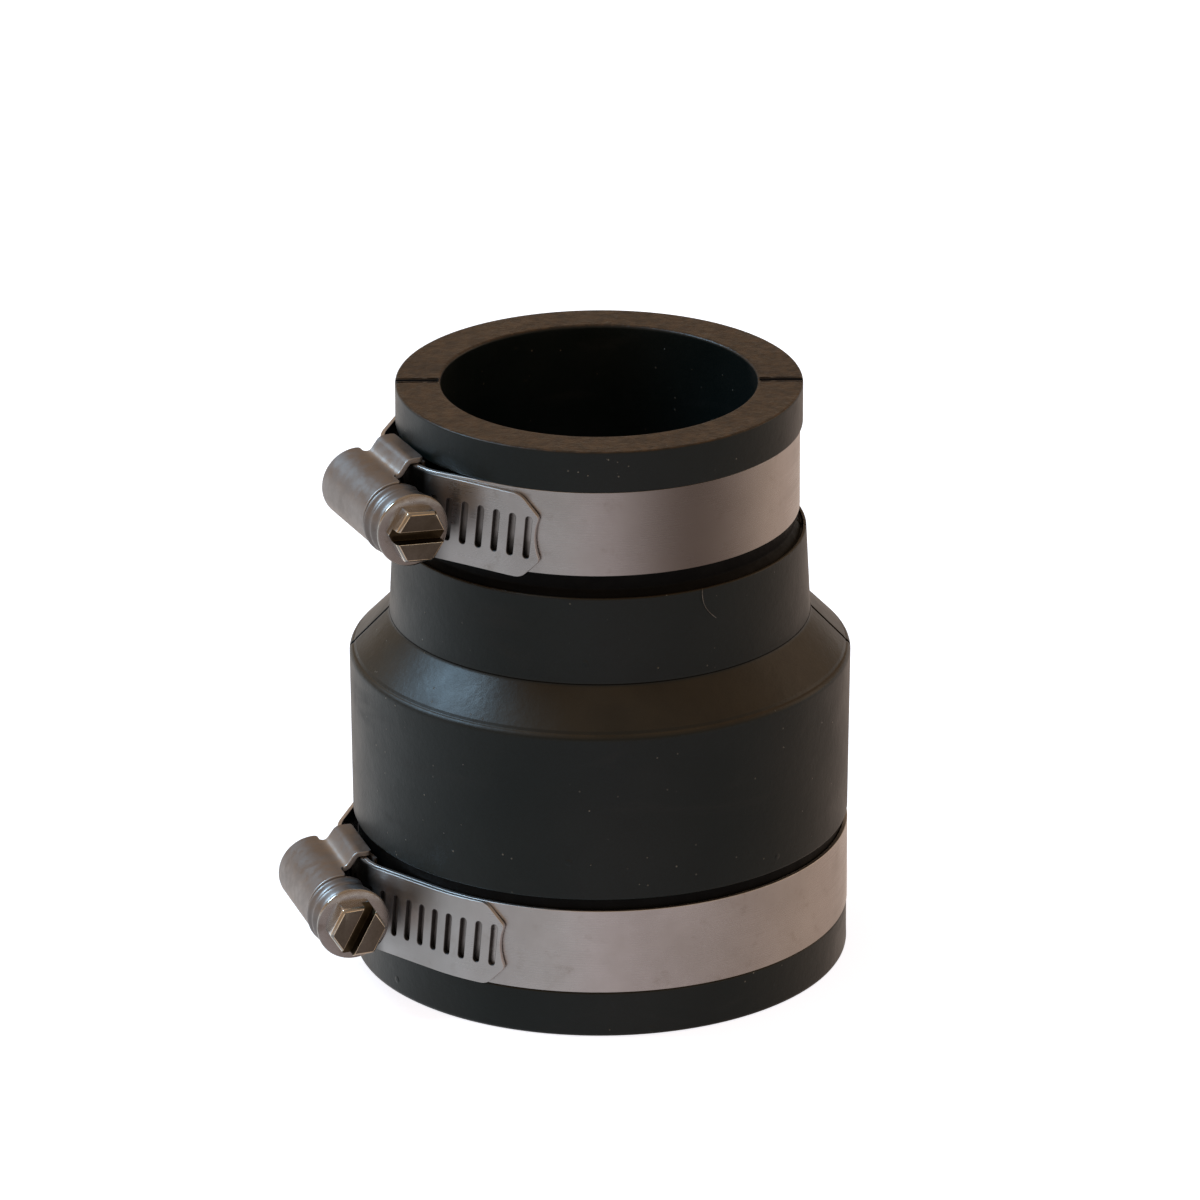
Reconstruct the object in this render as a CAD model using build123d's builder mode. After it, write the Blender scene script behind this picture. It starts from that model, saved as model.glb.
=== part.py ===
from build123d import *
import os
from math import sin, cos, tan, radians, pi

# Flexible reducing coupling for drain pipe: one moulded rubber sleeve and two
# worm-drive clamps. Millimetres. Z runs up the pipe axis, the origin is at the
# centre of the large mouth, and the mould splits in the XZ plane.

os.makedirs("parts", exist_ok=True)

# ---------------------------------------------------------------- dimensions
# sleeve
total_height = 82.4
large_bore_r = 28.0            # takes a 56 mm waste pipe
small_bore_r = 21.5            # takes a 43 mm waste pipe
base_lip_r = 34.05
base_lip_top = 6.5
lower_groove_r = 33.43
lower_groove_top = 20.2
body_r_low = 34.12
body_r_top = 34.38
cone_bottom_z = 43.7
collar_r_low = 28.85
cone_top_z = 49.4
collar_r_top = 28.25
collar_top_z = 61.6
upper_groove_r = 26.66
upper_groove_top = 76.6
top_lip_r = 27.73
stop_bottom_z = 41.5           # inner shoulder that the large pipe meets
stop_top_z = 48.2              # inner shoulder that the small pipe meets
part_line_w = 0.34             # mould parting line
part_line_d = 0.22

# clamps, the same hardware on both ends
band_w = 12.0
band_t = 0.6
band_gap = 0.05                # between the tail and the strip under it
slot_len = 6.1
slot_w = 0.9
slot_pitch = 2.4
slot_slant = 5.5               # degrees, top of the slot towards the tail's end
first_slot = 1.75              # from the tail's end to the first slot
strip_start = -3.6             # plain end of the strip, from the housing's middle
tail_chamfer_u = 2.8
tail_chamfer_z = 2.9
tail_dish = 0.65
corner_r = 8.0                 # bend of the band at each end of the housing
sheet_t = 0.8                  # housing sheet
ear_len = 10.0                 # housing over the band edges
leg_rise = 1.65                # straight leg beside the band
ear_bend = 0.9                 # bend over the band's edge
ear_slope = 53.6               # fall of the ear towards the barrel, degrees
root_bend = 1.2                # hollow between ear and barrel
barrel_r = 5.0
barrel_rear = -6.8
barrel_front = 7.6
neck_front = 12.4
neck_bore_r = 3.3
saddle_t = 0.5
core_r = 2.95                  # worm core, bare of its thread
shank_r = 3.2
flange_r = 5.1
flange_back = 12.5
flange_front = 13.3
hex_af = 7.0
head_front = 16.0
driver_slot_w = 1.75
driver_slot_d = 1.7

# phi: degrees from the front (-Y) towards the left (-X) to the housing's middle
# axis_r: from the sleeve's axis to the screw's axis
# ring_r: inside of the band where it lies on the rubber
# lead, trail: degrees before and behind the housing at which the band leaves the rubber
# tail_from, tail_tip: degrees ahead of the housing where the tail goes straight, and its end
clamps = {
    "upper": dict(phi=66.0, z=70.5, axis_r=33.1, ring_r=26.73, lead=38.0, trail=40.0,
                  tail_from=41.5, tail_tip=49.5, slots=20, driver=4.6),
    "lower": dict(phi=72.5, z=12.6, axis_r=39.4, ring_r=33.5, lead=31.0, trail=33.0,
                  tail_from=44.5, tail_tip=50.6, slots=22, driver=-62.0),
}


# ------------------------------------------------------- lines along a strip
class Trace:
    """Straight runs and arcs in a plane, each tangent to the one before."""

    def __init__(self, x, y, heading):
        self.x, self.y, self.a = x, y, heading
        self.pieces = []

    def go(self, length):
        if length > 1e-6:
            x, y = self.x, self.y
            self.x += length * cos(radians(self.a))
            self.y += length * sin(radians(self.a))
            self.pieces.append(("line", x, y, self.a, length))
        return self

    def turn(self, radius, angle):
        """Positive angle turns left, negative turns right."""
        s = 1 if angle > 0 else -1
        cx = self.x - s * radius * sin(radians(self.a))
        cy = self.y + s * radius * cos(radians(self.a))
        start = self.a - s * 90
        self.pieces.append(("arc", cx, cy, radius, start, angle))
        self.a += angle
        self.x = cx + radius * cos(radians(start + angle))
        self.y = cy + radius * sin(radians(start + angle))
        return self

    def length(self):
        return sum(p[4] if p[0] == "line" else p[3] * radians(abs(p[5])) for p in self.pieces)

    def at(self, s):
        """Point and heading at distance s from the start."""
        for p in self.pieces:
            n = p[4] if p[0] == "line" else p[3] * radians(abs(p[5]))
            if s <= n or p is self.pieces[-1]:
                if p[0] == "line":
                    return (p[1] + s * cos(radians(p[3])), p[2] + s * sin(radians(p[3])), p[3])
                sg = 1 if p[5] > 0 else -1
                b = p[4] + sg * s / p[3] * 180 / pi
                return (p[1] + p[3] * cos(radians(b)), p[2] + p[3] * sin(radians(b)), b + sg * 90)
            s -= n

    def side(self, d, backwards=False):
        """Draw the line that runs d to the left of the trace, and give its two ends."""
        ends = []
        for p in (reversed(self.pieces) if backwards else self.pieces):
            if p[0] == "line":
                ox, oy = -d * sin(radians(p[3])), d * cos(radians(p[3]))
                on = [(p[1] + ox + p[4] * k * cos(radians(p[3])),
                       p[2] + oy + p[4] * k * sin(radians(p[3]))) for k in (0, 1)]
            else:
                r = p[3] - (d if p[5] > 0 else -d)
                on = [(p[1] + r * cos(radians(p[4] + p[5] * k)),
                       p[2] + r * sin(radians(p[4] + p[5] * k))) for k in (0, 0.25, 0.5, 0.75, 1)]
            if backwards:
                on.reverse()
            if ends:
                on[0] = ends[-1]
            if len(on) == 2:
                Line(on[0], on[1])
            else:
                ThreePointArc(on[0], on[1], on[2])
                ThreePointArc(on[2], on[3], on[4])
            ends += [on[0], on[-1]]
        return ends[0], ends[-1]

    def outline(self, t):
        """Draw a closed strip of thickness t about the trace."""
        a0, a1 = self.side(t / 2)
        heading = radians(self.a)
        b = (self.x + t / 2 * sin(heading), self.y - t / 2 * cos(heading))
        Line(a1, b)
        b1, b0 = self.side(-t / 2, backwards=True)
        Line(b0, a0)


# -------------------------------------------------------------------- sleeve
wall = [
    ((large_bore_r, 0), 0.35),
    ((base_lip_r, 0), 0.55),
    ((base_lip_r, base_lip_top), 0.22),
    ((lower_groove_r, base_lip_top), 0.15),
    ((lower_groove_r, lower_groove_top), 0.15),
    ((body_r_low, lower_groove_top), 0.3),
    ((body_r_top, cone_bottom_z), 1.5),
    ((collar_r_low, cone_top_z), 0.9),
    ((collar_r_top, collar_top_z), 0.22),
    ((collar_r_top - 0.42, collar_top_z), 0.12),      # fine raised edge round the collar
    ((collar_r_top - 0.52, collar_top_z - 0.35), 0.12),
    ((collar_r_top - 0.78, collar_top_z - 0.35), 0.12),
    ((upper_groove_r, collar_top_z + 0.75), 0.5),
    ((upper_groove_r, upper_groove_top), 0.15),
    ((top_lip_r, upper_groove_top), 0.2),
    ((top_lip_r, total_height), 0.3),
    ((small_bore_r, total_height), 0.4),
    ((small_bore_r, stop_top_z), 0.8),
    ((large_bore_r, stop_bottom_z), 0.8),
]

with BuildPart() as sleeve:
    with BuildSketch(Plane.XZ):
        with BuildLine():
            FilletPolyline(*[p for p, _ in wall], radius=[r for _, r in wall], close=True)
        make_face()
    revolve(axis=Axis.Z)
    # parting line of the mould: across the top rim, down the collar, cone and body
    with BuildSketch(Plane.XZ):
        with BuildLine():
            Polyline((small_bore_r - 0.6, total_height - part_line_d),
                     (top_lip_r - part_line_d, total_height - part_line_d),
                     (top_lip_r - part_line_d, upper_groove_top - 0.2),
                     (top_lip_r + 1, upper_groove_top - 0.2),
                     (top_lip_r + 1, total_height + 1),
                     (small_bore_r - 0.6, total_height + 1), close=True)
        make_face()
        with BuildLine():
            Polyline((collar_r_top - part_line_d, collar_top_z + 0.3),
                     (collar_r_low - part_line_d, cone_top_z - 0.15),
                     (body_r_top - part_line_d, cone_bottom_z - 0.15),
                     (body_r_low - part_line_d, lower_groove_top - 0.1),
                     (body_r_low + 1, lower_groove_top - 0.1),
                     (body_r_top + 1, cone_bottom_z + 0.8),
                     (collar_r_low + 1, cone_top_z + 0.8),
                     (collar_r_top + 1, collar_top_z + 0.3), close=True)
        make_face()
        with BuildLine():
            Polyline((base_lip_r - part_line_d, -0.5),
                     (base_lip_r - part_line_d, base_lip_top + 0.1),
                     (base_lip_r + 1, base_lip_top + 0.1),
                     (base_lip_r + 1, -0.5), close=True)
        make_face()
        mirror(about=Plane.YZ)
    extrude(amount=part_line_w / 2, both=True, mode=Mode.SUBTRACT)

sleeve.part.label = "sleeve"
export_step(sleeve.part, "parts/sleeve.step")


# -------------------------------------------------------------------- clamps
for side, c in clamps.items():
    out = Vector(-sin(radians(c["phi"])), -cos(radians(c["phi"])), 0)    # away from the sleeve
    run = Vector(cos(radians(c["phi"])), -sin(radians(c["phi"])), 0)     # along the screw, to its head
    up = Vector(0, 0, 1)
    mid = Vector(0, 0, c["z"])
    flat = Plane(origin=mid, x_dir=run, z_dir=-up)                       # u along run, v along out
    A = c["axis_r"]
    screw_seat = mid + out * A

    # heights above the sleeve's axis at the housing, to the middle of each sheet
    tail_v = A - 3.15 - band_t / 2
    strip_v = tail_v - band_t - band_gap
    ring = c["ring_r"] + band_t / 2

    # the strip: plain end under the housing, round the rubber, back in under
    # the screw, and out over itself as the slotted tail
    def bend(height, radius, angle):
        reach = (height - radius * cos(radians(angle))) / sin(radians(angle))
        return radius * sin(radians(angle)) - reach * cos(radians(angle)), reach

    lead, trail = c["lead"], c["trail"]
    u1, reach1 = bend(strip_v, ring, lead)
    u2, reach2 = bend(tail_v, ring, trail)
    ring3 = ring + band_t + band_gap
    u3, reach3 = bend(tail_v, ring3, lead)
    cut1 = corner_r * tan(radians(lead / 2))
    cut2 = corner_r * tan(radians(trail / 2))
    cut3 = (corner_r + band_t + band_gap) * tan(radians(lead / 2))
    path = Trace(strip_start, strip_v, 0)
    path.go(u1 - cut1 - strip_start).turn(corner_r, -lead).go(reach1 - cut1)
    path.turn(ring, -(180 - lead)).turn(ring, -(180 - trail))
    path.go(reach2 - cut2).turn(corner_r, -trail).go(u2 + u3 - cut2 - cut3)
    path.turn(corner_r + band_t + band_gap, -lead).go(reach3 - cut3)
    path.turn(ring3, -(c["tail_from"] - lead))
    path.go(ring3 * tan(radians(c["tail_tip"] - c["tail_from"])))
    total = path.length()

    def tail_plane(s):
        """Plane on the strip's outer side: x towards the tail's end, y up, z outwards."""
        u, v, a = path.at(s)
        along = run * cos(radians(a)) + out * sin(radians(a))
        away = run * -sin(radians(a)) + out * cos(radians(a))
        return Plane(origin=mid + run * u + out * v, x_dir=along, z_dir=away)

    with BuildPart() as band:
        with BuildSketch(flat):
            with BuildLine():
                path.outline(band_t)
            make_face()
        extrude(amount=band_w / 2, both=True)
        # slots that the worm pulls on
        for k in range(c["slots"]):
            pl = tail_plane(total - first_slot - k * slot_pitch)
            lean = slot_slant if pl.y_dir.Z > 0 else -slot_slant
            with BuildSketch(pl.offset(-band_t / 2 - band_gap * 0.5)):
                SlotOverall(slot_len, slot_w, rotation=90 - lean)
            extrude(amount=band_t + 0.6, mode=Mode.SUBTRACT)
        # the tail's end: two clipped corners and a shallow dish
        end = tail_plane(total)
        h = band_w / 2
        with BuildSketch(end.offset(-band_t / 2 - band_gap * 0.5)):
            with BuildLine():
                Polyline((-tail_chamfer_u, h), (0, h - tail_chamfer_z))
                ThreePointArc((0, h - tail_chamfer_z), (-tail_dish, 0), (0, -h + tail_chamfer_z))
                Polyline((0, -h + tail_chamfer_z), (-tail_chamfer_u, -h), (-tail_chamfer_u, -h - 1),
                         (1.5, -h - 1), (1.5, h + 1), (-tail_chamfer_u, h + 1), (-tail_chamfer_u, h))
            make_face()
        extrude(amount=band_t + 0.6, mode=Mode.SUBTRACT)

    band.part.label = side + "_band"
    export_step(band.part, "parts/" + side + "_band.step")

    # the housing: a pressed sheet, barrel on top, an ear down over each band edge
    ear_half = band_w / 2 + 0.1 + sheet_t / 2
    leg_foot = strip_v - band_t / 2 - 0.15 - saddle_t
    barrel_mid = barrel_r - sheet_t / 2
    lean_in = Trace(leg_foot - A, ear_half, 0)
    lean_in.go(leg_rise).turn(ear_bend, -ear_slope).turn(root_bend, ear_slope)
    slant = (lean_in.y - barrel_mid) / sin(radians(ear_slope))
    cross = Plane(origin=screw_seat, x_dir=out, z_dir=run)

    def half_sheet(flip):
        """Middle line of one side of the housing's section, from its foot to the barrel's top."""
        t = Trace(leg_foot - A, flip * ear_half, 0)
        t.go(leg_rise).turn(ear_bend, -flip * ear_slope).go(slant)
        t.turn(root_bend, flip * ear_slope)
        t.go(-t.x).turn(barrel_mid, -flip * 90)
        return t

    with BuildPart() as housing:
        with BuildSketch(cross.offset(-ear_len / 2)):
            for flip in (1, -1):
                with BuildLine():
                    half_sheet(flip).outline(sheet_t)
                make_face()
        extrude(amount=ear_len)
        # the barrel runs on past the ears at both ends
        with BuildSketch(cross.offset(barrel_rear)):
            Circle(barrel_r)
            Circle(barrel_r - sheet_t, mode=Mode.SUBTRACT)
            with Locations((-barrel_r - 0.6, 0)):
                Rectangle(2 * barrel_r, 4 * barrel_r, mode=Mode.SUBTRACT, align=(Align.CENTER, Align.CENTER))
        extrude(amount=barrel_front - barrel_rear)
        # the neck: two pressed ribs, then a collar that holds the screw
        with BuildSketch(Plane(origin=screw_seat, x_dir=run, z_dir=up)):
            with BuildLine():
                FilletPolyline((barrel_front - 0.05, barrel_r - sheet_t), (barrel_front - 0.05, barrel_r),
                               (8.1, barrel_r), (8.65, barrel_r + 0.22), (9.25, barrel_r - 0.3),
                               (10.3, barrel_r - 0.12), (10.75, barrel_r + 0.02), (11.3, barrel_r - 0.55),
                               (neck_front, barrel_r - 0.6), (neck_front, neck_bore_r),
                               (10.2, neck_bore_r), (9.2, barrel_r - sheet_t),
                               radius=[0, 0, 0.3, 0.3, 0.3, 0.3, 0.25, 0.3, 0.25, 0.2, 0.5, 0.5],
                               close=True)
            make_face()
        revolve(axis=Axis(screw_seat, run))
        # the band leaves under the neck
        with BuildSketch(cross.offset(5.0)):
            with Locations((-barrel_r - 2.4, 0)):
                Rectangle(2 * barrel_r, 4 * barrel_r)
        extrude(amount=4.9, mode=Mode.SUBTRACT)

    housing.part.label = side + "_housing"
    export_step(housing.part, "parts/" + side + "_housing.step")

    # the saddle: a curved plate between the housing's legs, under the strip
    saddle_out = leg_foot + saddle_t
    with BuildPart() as saddle:
        with BuildSketch(flat):
            with BuildLine():
                bow = c["ring_r"]
                a = 10.2
                left = Trace(-bow * sin(radians(a)), saddle_out - saddle_t / 2 - bow * (1 - cos(radians(a))), a)
                left.turn(bow, -2 * a)
                left.outline(saddle_t)
            make_face()
        extrude(amount=band_w / 2 + 0.08, both=True)
        fillet(saddle.edges().filter_by(Axis.Z), radius=0.15)

    saddle.part.label = side + "_saddle"
    export_step(saddle.part, "parts/" + side + "_saddle.step")

    # the screw: worm core, shank, washer flange and slotted hexagon head
    with BuildPart() as screw:
        with BuildSketch(Plane(origin=screw_seat, x_dir=run, z_dir=up)):
            with BuildLine():
                Polyline((barrel_rear + 0.5, 0), (barrel_rear + 0.5, core_r - 0.9), (barrel_rear + 1.4, core_r),
                         (9.0, core_r), (9.6, shank_r), (flange_back, shank_r), (flange_back, flange_r - 0.25),
                         (flange_back + 0.25, flange_r), (flange_front - 0.2, flange_r),
                         (flange_front, flange_r - 0.2), (flange_front, 0), close=True)
            make_face()
        revolve(axis=Axis(screw_seat, run))
        corner = hex_af / 2 / cos(radians(30))
        with BuildSketch(cross.offset(flange_front)):
            RegularPolygon(radius=corner, side_count=6, rotation=-c["driver"])
        extrude(amount=head_front - flange_front)
        # chamfered front, as turned from bar
        with BuildSketch(Plane(origin=screw_seat, x_dir=run, z_dir=up)):
            with BuildLine():
                Polyline((head_front - 0.75, corner + 0.1), (head_front + 0.3, hex_af / 2 - 0.7),
                         (head_front + 0.3, corner + 1), (head_front - 0.75, corner + 1), close=True)
            make_face()
        revolve(axis=Axis(screw_seat, run), mode=Mode.SUBTRACT)
        with BuildSketch(cross.offset(head_front)):
            Rectangle(3 * corner, driver_slot_w, rotation=-c["driver"])
        extrude(amount=-driver_slot_d, mode=Mode.SUBTRACT)

    screw.part.label = side + "_screw"
    export_step(screw.part, "parts/" + side + "_screw.step")
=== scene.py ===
import math
from math import sin, cos, tan, radians, pi, asin, sqrt
import random
import bpy
import bmesh
import numpy as np
from mathutils import Vector, Matrix
from mathutils.geometry import delaunay_2d_cdt


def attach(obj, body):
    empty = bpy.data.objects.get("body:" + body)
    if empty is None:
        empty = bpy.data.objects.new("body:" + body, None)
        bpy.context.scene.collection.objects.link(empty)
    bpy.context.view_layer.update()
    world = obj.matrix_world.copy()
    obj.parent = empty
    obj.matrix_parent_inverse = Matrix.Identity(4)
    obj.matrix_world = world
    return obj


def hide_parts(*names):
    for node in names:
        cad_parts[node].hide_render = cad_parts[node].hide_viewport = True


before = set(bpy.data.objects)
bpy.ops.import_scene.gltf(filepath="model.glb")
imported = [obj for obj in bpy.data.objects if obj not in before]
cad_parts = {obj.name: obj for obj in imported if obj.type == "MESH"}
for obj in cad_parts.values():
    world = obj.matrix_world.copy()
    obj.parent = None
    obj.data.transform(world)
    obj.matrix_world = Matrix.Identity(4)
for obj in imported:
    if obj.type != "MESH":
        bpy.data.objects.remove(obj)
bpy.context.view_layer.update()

MM = 0.001
scene = bpy.context.scene
random.seed(7)

# ------------------------------------------------------------------- camera
# A long lens, a little above the object, level with its axis. Millimetres.
tilt, roll, distance = radians(21.82), radians(-0.19), 1303.2
target = Vector((0.036, 0.0, 50.2))
eye = target + distance * Vector((0, -cos(tilt), sin(tilt)))
ahead = (target - eye).normalized()
right = Vector((1, 0, 0))
above = right.cross(ahead)
right, above = right * cos(roll) + above * sin(roll), -right * sin(roll) + above * cos(roll)
camera_data = bpy.data.cameras.new("camera")
camera = bpy.data.objects.new("camera", camera_data)
scene.collection.objects.link(camera)
camera.matrix_world = Matrix.Translation(eye * MM) @ Matrix((right, above, -ahead)).transposed().to_4x4()
camera_data.sensor_width = 36.0
camera_data.lens = 9517.6 * 36.0 / 1200.0
camera_data.clip_start, camera_data.clip_end = 0.05, 60.0
scene.camera = camera

# ---------------------------------------------------------------- dimensions
wall = [
    ((28.0, 0), 0.35), ((34.05, 0), 0.55), ((34.05, 6.5), 0.22), ((33.43, 6.5), 0.15),
    ((33.43, 20.2), 0.15), ((34.12, 20.2), 0.3), ((34.38, 43.7), 0.9), ((33.997, 44.095), 0.25),
    ((33.766, 44.218), 0.30), ((33.510, 44.598), 0.4), ((28.85, 49.4), 0.9),
    ((28.25, 61.6), 0.22), ((27.83, 61.6), 0.12), ((27.73, 61.25), 0.12), ((27.47, 61.25), 0.12),
    ((26.66, 62.35), 0.5), ((26.66, 76.6), 0.15), ((27.73, 76.6), 0.2), ((27.73, 82.4), 0.3),
    ((21.5, 82.4), 0.4), ((21.5, 48.2), 0.8), ((28.0, 41.5), 0.8),
]
band_w, band_t, band_gap = 12.0, 0.6, 0.05
slot_len, slot_w, slot_pitch, slot_slant, first_slot = 6.1, 0.9, 2.4, 5.5, 1.75
strip_start = -3.6
tail_chamfer_u, tail_chamfer_z, tail_dish = 2.8, 2.9, 0.65
corner_r = 8.0
sheet_t, ear_len, leg_rise, ear_bend, ear_slope, root_bend = 0.8, 10.0, 1.65, 0.9, 53.6, 1.2
barrel_r, barrel_rear, barrel_front = 5.0, -6.8, 7.6
saddle_t = 0.5
shank_r, flange_r, flange_back, flange_front = 3.2, 5.1, 12.5, 13.3
hex_af, head_front, driver_slot_w, driver_slot_d = 7.0, 16.0, 1.75, 1.7
clamps = {
    "upper": dict(phi=66.0, z=70.5, axis_r=33.1, ring_r=26.73, lead=38.0, trail=40.0,
                  tail_from=41.5, tail_tip=49.5, slots=20, driver=4.6, painted_dark_reflection=0.95, droop=0.85,
                  side_painted_dark_reflection=(0.30, 14.0), tail_shade=0.0),
    "lower": dict(phi=72.5, z=12.6, axis_r=39.4, ring_r=33.5, lead=31.0, trail=33.0,
                  tail_from=44.5, tail_tip=50.6, slots=22, driver=-62.0, painted_dark_reflection=0.03, droop=0.0,
                  side_painted_dark_reflection=(0.52, 27.0), tail_shade=0.32),
}


# -------------------------------------------------------------------- shapes
def rounded(points, seg=4, support=0.12, step=None):
    """Closed outline with rounded corners, a support point beside each, and its long sides divided."""
    n, out = len(points), []
    for i in range(n):
        (p, r), a, b = points[i], points[i - 1][0], points[(i + 1) % n][0]
        p, a, b = Vector(p), Vector(a), Vector(b)
        da, db = (a - p).normalized(), (b - p).normalized()
        if r <= 0:
            out.append([p])
            continue
        half = da.angle(db) / 2
        cut = r / tan(half)
        mid = (da + db).normalized()
        centre = p + mid * (r / sin(half))
        start, end = p + da * cut - centre, p + db * cut - centre
        sweep = start.angle(end)
        side = 1 if start.x * end.y - start.y * end.x > 0 else -1
        arc = []
        for k in range(seg + 1):
            t = side * sweep * k / seg
            arc.append(centre + Vector((start.x * cos(t) - start.y * sin(t), start.x * sin(t) + start.y * cos(t))))
        out.append(arc)
    line = []
    for i in range(n):
        line += out[i]
        p, q = out[i][-1], out[(i + 1) % n][0]
        d = (q - p).length
        if d > 4 * support:
            cuts = [support, d - support]
            if step:
                m = max(1, math.ceil((d - 2 * support) / step))
                cuts = [support + (d - 2 * support) * k / m for k in range(m + 1)]
            line += [p + (q - p) * (c / d) for c in cuts]
    return line


class Trace:
    """Straight runs and arcs in a plane, each tangent to the one before."""

    def __init__(self, x, y, heading):
        self.x, self.y, self.a = x, y, heading
        self.pieces = []

    def go(self, length):
        if length > 1e-6:
            self.pieces.append(("line", self.x, self.y, self.a, length))
            self.x += length * cos(radians(self.a))
            self.y += length * sin(radians(self.a))
        return self

    def turn(self, radius, angle):
        s = 1 if angle > 0 else -1
        cx = self.x - s * radius * sin(radians(self.a))
        cy = self.y + s * radius * cos(radians(self.a))
        start = self.a - s * 90
        self.pieces.append(("arc", cx, cy, radius, start, angle))
        self.a += angle
        self.x = cx + radius * cos(radians(start + angle))
        self.y = cy + radius * sin(radians(start + angle))
        return self

    def length(self):
        return sum(p[4] if p[0] == "line" else p[3] * radians(abs(p[5])) for p in self.pieces)

    def at(self, s):
        for p in self.pieces:
            n = p[4] if p[0] == "line" else p[3] * radians(abs(p[5]))
            if s <= n or p is self.pieces[-1]:
                if p[0] == "line":
                    return p[1] + s * cos(radians(p[3])), p[2] + s * sin(radians(p[3])), p[3]
                sg = 1 if p[5] > 0 else -1
                b = p[4] + sg * s / p[3] * 180 / pi
                return p[1] + p[3] * cos(radians(b)), p[2] + p[3] * sin(radians(b)), b + sg * 90
            s -= n


def new_object(name, verts, faces, normals=None, values=None, smooth=True):
    """Mesh object from points in millimetres."""
    me = bpy.data.meshes.new(name)
    me.from_pydata([tuple(c * MM for c in v) for v in verts], [], faces)
    for key, rows in (values or {}).items():
        if isinstance(rows[0], (float, int)):
            layer = me.attributes.new(key, "FLOAT", "POINT")
            layer.data.foreach_set("value", [float(x) for x in rows])
        else:
            layer = me.attributes.new(key, "FLOAT_VECTOR", "POINT")
            layer.data.foreach_set("vector", [float(c) for row in rows for c in row])
    me.polygons.foreach_set("use_smooth", [smooth] * len(me.polygons))
    me.validate(clean_customdata=False)
    me.update()
    if normals:
        me.normals_split_custom_set_from_vertices([tuple(n) for n in normals])
    ob = bpy.data.objects.new(name, me)
    scene.collection.objects.link(ob)
    return ob


def inside(loop, points):
    """Which of the points are inside the loop."""
    p = np.asarray(points, float)
    a = np.asarray([tuple(q) for q in loop], float)
    b = np.roll(a, -1, axis=0)
    hit = np.zeros(len(p), bool)
    near = np.nonzero(((p >= a.min(0)) & (p <= a.max(0))).all(1))[0]
    for chunk in np.array_split(near, max(1, len(near) // 2000)):
        if not len(chunk):
            continue
        x, y = p[chunk, 0][:, None], p[chunk, 1][:, None]
        cross = (a[:, 1] > y) != (b[:, 1] > y)
        with np.errstate(divide="ignore", invalid="ignore"):
            at = a[:, 0] + (y - a[:, 1]) / (b[:, 1] - a[:, 1]) * (b[:, 0] - a[:, 0])
        hit[chunk] = (cross & (x < at)).sum(1) % 2 == 1
    return hit


def left_of(loop):
    """For each point of a loop, the direction to its left, long enough to keep the offset even."""
    n, out = len(loop), []
    for i in range(n):
        a, p, b = loop[i - 1], loop[i], loop[(i + 1) % n]
        d1, d2 = (p - a), (b - p)
        n1, n2 = Vector((-d1.y, d1.x)).normalized(), Vector((-d2.y, d2.x)).normalized()
        m = (n1 + n2).normalized()
        out.append(m / max(0.5, m.dot(n1)))
    return out


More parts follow.
